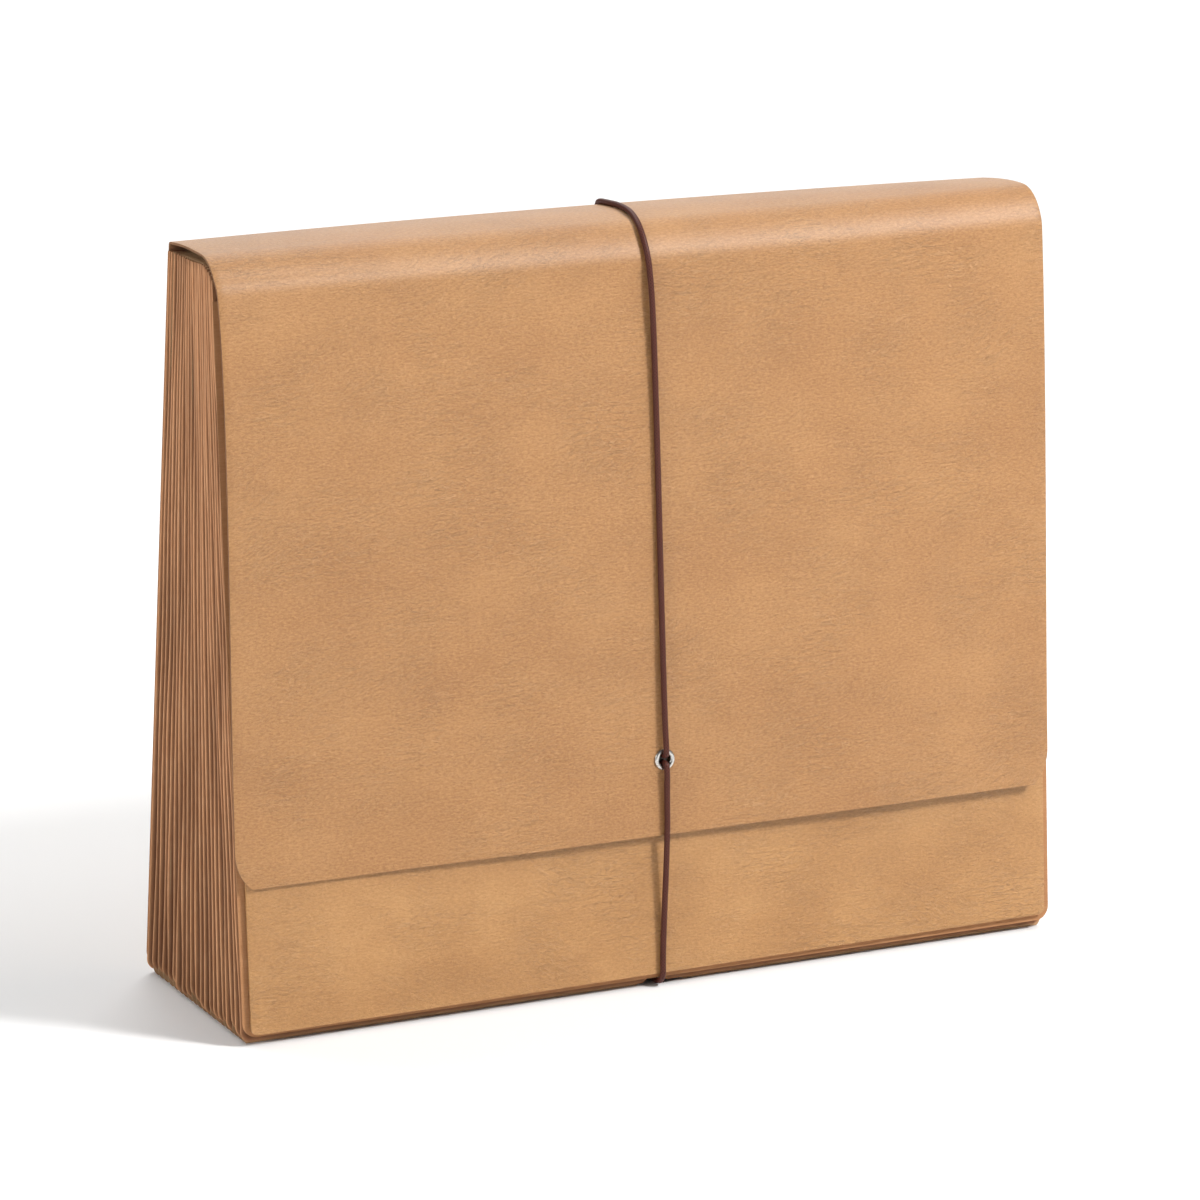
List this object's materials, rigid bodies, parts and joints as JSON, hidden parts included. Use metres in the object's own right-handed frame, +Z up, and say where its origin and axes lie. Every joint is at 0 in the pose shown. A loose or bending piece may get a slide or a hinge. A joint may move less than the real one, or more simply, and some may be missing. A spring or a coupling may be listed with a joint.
{
  "type": "accordion file",
  "caption": "Letter-size accordion file with pleated paper pockets, grained board covers, a fold-over flap and an elastic loop whose ends meet in a metal eyelet.",
  "frame": {"origin": "on the floor under the middle of the closed file", "axes": "+X to the right seen from the front, +Y to the back, +Z up"},
  "size_m": [0.305, 0.0955, 0.2615],
  "materials": {
    "cover_board": "leather-grain embossed board, satin",
    "gusset_paper": "matt pleated paper",
    "divider_card": "matt card",
    "eyelet_metal": "bright nickel plate",
    "clip_metal": "plain steel",
    "elastic": "braided elastic"
  },
  "bodies": {
    "back": {"back_board": "cover_board", "back_leaf": "gusset_paper", "back_fold": "gusset_paper"},
    "leaf_01": {"divider_01": "divider_card", "pleat_01": "gusset_paper"},
    "leaf_02": {"divider_02": "divider_card", "pleat_02": "gusset_paper"},
    "leaf_03": {"divider_03": "divider_card", "pleat_03": "gusset_paper"},
    "leaf_04": {"divider_04": "divider_card", "pleat_04": "gusset_paper"},
    "leaf_05": {"divider_05": "divider_card", "pleat_05": "gusset_paper"},
    "leaf_06": {"divider_06": "divider_card", "pleat_06": "gusset_paper"},
    "leaf_07": {"divider_07": "divider_card", "pleat_07": "gusset_paper"},
    "leaf_08": {"divider_08": "divider_card", "pleat_08": "gusset_paper"},
    "leaf_09": {"divider_09": "divider_card", "pleat_09": "gusset_paper"},
    "leaf_10": {"divider_10": "divider_card", "pleat_10": "gusset_paper"},
    "leaf_11": {"divider_11": "divider_card", "pleat_11": "gusset_paper"},
    "leaf_12": {"divider_12": "divider_card", "pleat_12": "gusset_paper"},
    "leaf_13": {"divider_13": "divider_card", "pleat_13": "gusset_paper"},
    "leaf_14": {"divider_14": "divider_card", "pleat_14": "gusset_paper"},
    "leaf_15": {"divider_15": "divider_card", "pleat_15": "gusset_paper"},
    "leaf_16": {"divider_16": "divider_card", "pleat_16": "gusset_paper"},
    "leaf_17": {"divider_17": "divider_card", "pleat_17": "gusset_paper"},
    "leaf_18": {"divider_18": "divider_card", "pleat_18": "gusset_paper"},
    "leaf_19": {"divider_19": "divider_card", "pleat_19": "gusset_paper"},
    "leaf_20": {"divider_20": "divider_card", "pleat_20": "gusset_paper"},
    "front": {"front_leaf": "gusset_paper", "front_board": "cover_board", "front_fold": "gusset_paper"},
    "flap": {"flap": "cover_board", "eyelet": "eyelet_metal", "eyelet_washer": "eyelet_metal", "cord_clip": "clip_metal", "elastic_cord": "elastic"}
  },
  "joints": [
    {"name": "flap_lift", "type": "hinge", "parent": "back", "child": "flap", "pos_m": [0, 0.0101, 0.2587], "axis": [-1, 0, 0], "range_deg": [0, 210], "deforming": ["elastic_cord"]},
    {"name": "pocket_01", "type": "hinge", "parent": "back", "child": "leaf_01", "pos_m": [0, -0.0447, 0], "axis": [1, 0, 0], "range_deg": [0, 0.76], "deforming": ["back_fold", "pleat_01"]},
    {"name": "pocket_02", "type": "hinge", "parent": "leaf_01", "child": "leaf_02", "pos_m": [0, -0.0447, 0], "axis": [1, 0, 0], "range_deg": [0, 0.76], "deforming": ["pleat_02"]},
    {"name": "pocket_03", "type": "hinge", "parent": "leaf_02", "child": "leaf_03", "pos_m": [0, -0.0447, 0], "axis": [1, 0, 0], "range_deg": [0, 0.76], "deforming": ["pleat_03"]},
    {"name": "pocket_04", "type": "hinge", "parent": "leaf_03", "child": "leaf_04", "pos_m": [0, -0.0447, 0], "axis": [1, 0, 0], "range_deg": [0, 0.76], "deforming": ["pleat_04"]},
    {"name": "pocket_05", "type": "hinge", "parent": "leaf_04", "child": "leaf_05", "pos_m": [0, -0.0447, 0], "axis": [1, 0, 0], "range_deg": [0, 0.76], "deforming": ["pleat_05"]},
    {"name": "pocket_06", "type": "hinge", "parent": "leaf_05", "child": "leaf_06", "pos_m": [0, -0.0447, 0], "axis": [1, 0, 0], "range_deg": [0, 0.76], "deforming": ["pleat_06"]},
    {"name": "pocket_07", "type": "hinge", "parent": "leaf_06", "child": "leaf_07", "pos_m": [0, -0.0447, 0], "axis": [1, 0, 0], "range_deg": [0, 0.76], "deforming": ["pleat_07"]},
    {"name": "pocket_08", "type": "hinge", "parent": "leaf_07", "child": "leaf_08", "pos_m": [0, -0.0447, 0], "axis": [1, 0, 0], "range_deg": [0, 0.76], "deforming": ["pleat_08"]},
    {"name": "pocket_09", "type": "hinge", "parent": "leaf_08", "child": "leaf_09", "pos_m": [0, -0.0447, 0], "axis": [1, 0, 0], "range_deg": [0, 0.76], "deforming": ["pleat_09"]},
    {"name": "pocket_10", "type": "hinge", "parent": "leaf_09", "child": "leaf_10", "pos_m": [0, -0.0447, 0], "axis": [1, 0, 0], "range_deg": [0, 0.76], "deforming": ["pleat_10"]},
    {"name": "pocket_11", "type": "hinge", "parent": "leaf_10", "child": "leaf_11", "pos_m": [0, -0.0447, 0], "axis": [1, 0, 0], "range_deg": [0, 0.76], "deforming": ["pleat_11"]},
    {"name": "pocket_12", "type": "hinge", "parent": "leaf_11", "child": "leaf_12", "pos_m": [0, -0.0447, 0], "axis": [1, 0, 0], "range_deg": [0, 0.76], "deforming": ["pleat_12"]},
    {"name": "pocket_13", "type": "hinge", "parent": "leaf_12", "child": "leaf_13", "pos_m": [0, -0.0447, 0], "axis": [1, 0, 0], "range_deg": [0, 0.76], "deforming": ["pleat_13"]},
    {"name": "pocket_14", "type": "hinge", "parent": "leaf_13", "child": "leaf_14", "pos_m": [0, -0.0447, 0], "axis": [1, 0, 0], "range_deg": [0, 0.76], "deforming": ["pleat_14"]},
    {"name": "pocket_15", "type": "hinge", "parent": "leaf_14", "child": "leaf_15", "pos_m": [0, -0.0447, 0], "axis": [1, 0, 0], "range_deg": [0, 0.76], "deforming": ["pleat_15"]},
    {"name": "pocket_16", "type": "hinge", "parent": "leaf_15", "child": "leaf_16", "pos_m": [0, -0.0447, 0], "axis": [1, 0, 0], "range_deg": [0, 0.76], "deforming": ["pleat_16"]},
    {"name": "pocket_17", "type": "hinge", "parent": "leaf_16", "child": "leaf_17", "pos_m": [0, -0.0447, 0], "axis": [1, 0, 0], "range_deg": [0, 0.76], "deforming": ["pleat_17"]},
    {"name": "pocket_18", "type": "hinge", "parent": "leaf_17", "child": "leaf_18", "pos_m": [0, -0.0447, 0], "axis": [1, 0, 0], "range_deg": [0, 0.76], "deforming": ["pleat_18"]},
    {"name": "pocket_19", "type": "hinge", "parent": "leaf_18", "child": "leaf_19", "pos_m": [0, -0.0447, 0], "axis": [1, 0, 0], "range_deg": [0, 0.76], "deforming": ["pleat_19"]},
    {"name": "pocket_20", "type": "hinge", "parent": "leaf_19", "child": "leaf_20", "pos_m": [0, -0.0447, 0], "axis": [1, 0, 0], "range_deg": [0, 0.76], "deforming": ["pleat_20"]},
    {"name": "pocket_21", "type": "hinge", "parent": "leaf_20", "child": "front", "pos_m": [0, -0.0447, 0], "axis": [1, 0, 0], "range_deg": [0, 0.76], "deforming": ["front_fold"]}
  ],
  "couplings": [
    {"joint": "pocket_01", "follows": "flap_lift", "ratio": 0.003619},
    {"joint": "pocket_02", "follows": "flap_lift", "ratio": 0.003619},
    {"joint": "pocket_03", "follows": "flap_lift", "ratio": 0.003619},
    {"joint": "pocket_04", "follows": "flap_lift", "ratio": 0.003619},
    {"joint": "pocket_05", "follows": "flap_lift", "ratio": 0.003619},
    {"joint": "pocket_06", "follows": "flap_lift", "ratio": 0.003619},
    {"joint": "pocket_07", "follows": "flap_lift", "ratio": 0.003619},
    {"joint": "pocket_08", "follows": "flap_lift", "ratio": 0.003619},
    {"joint": "pocket_09", "follows": "flap_lift", "ratio": 0.003619},
    {"joint": "pocket_10", "follows": "flap_lift", "ratio": 0.003619},
    {"joint": "pocket_11", "follows": "flap_lift", "ratio": 0.003619},
    {"joint": "pocket_12", "follows": "flap_lift", "ratio": 0.003619},
    {"joint": "pocket_13", "follows": "flap_lift", "ratio": 0.003619},
    {"joint": "pocket_14", "follows": "flap_lift", "ratio": 0.003619},
    {"joint": "pocket_15", "follows": "flap_lift", "ratio": 0.003619},
    {"joint": "pocket_16", "follows": "flap_lift", "ratio": 0.003619},
    {"joint": "pocket_17", "follows": "flap_lift", "ratio": 0.003619},
    {"joint": "pocket_18", "follows": "flap_lift", "ratio": 0.003619},
    {"joint": "pocket_19", "follows": "flap_lift", "ratio": 0.003619},
    {"joint": "pocket_20", "follows": "flap_lift", "ratio": 0.003619},
    {"joint": "pocket_21", "follows": "flap_lift", "ratio": 0.003619}
  ]
}
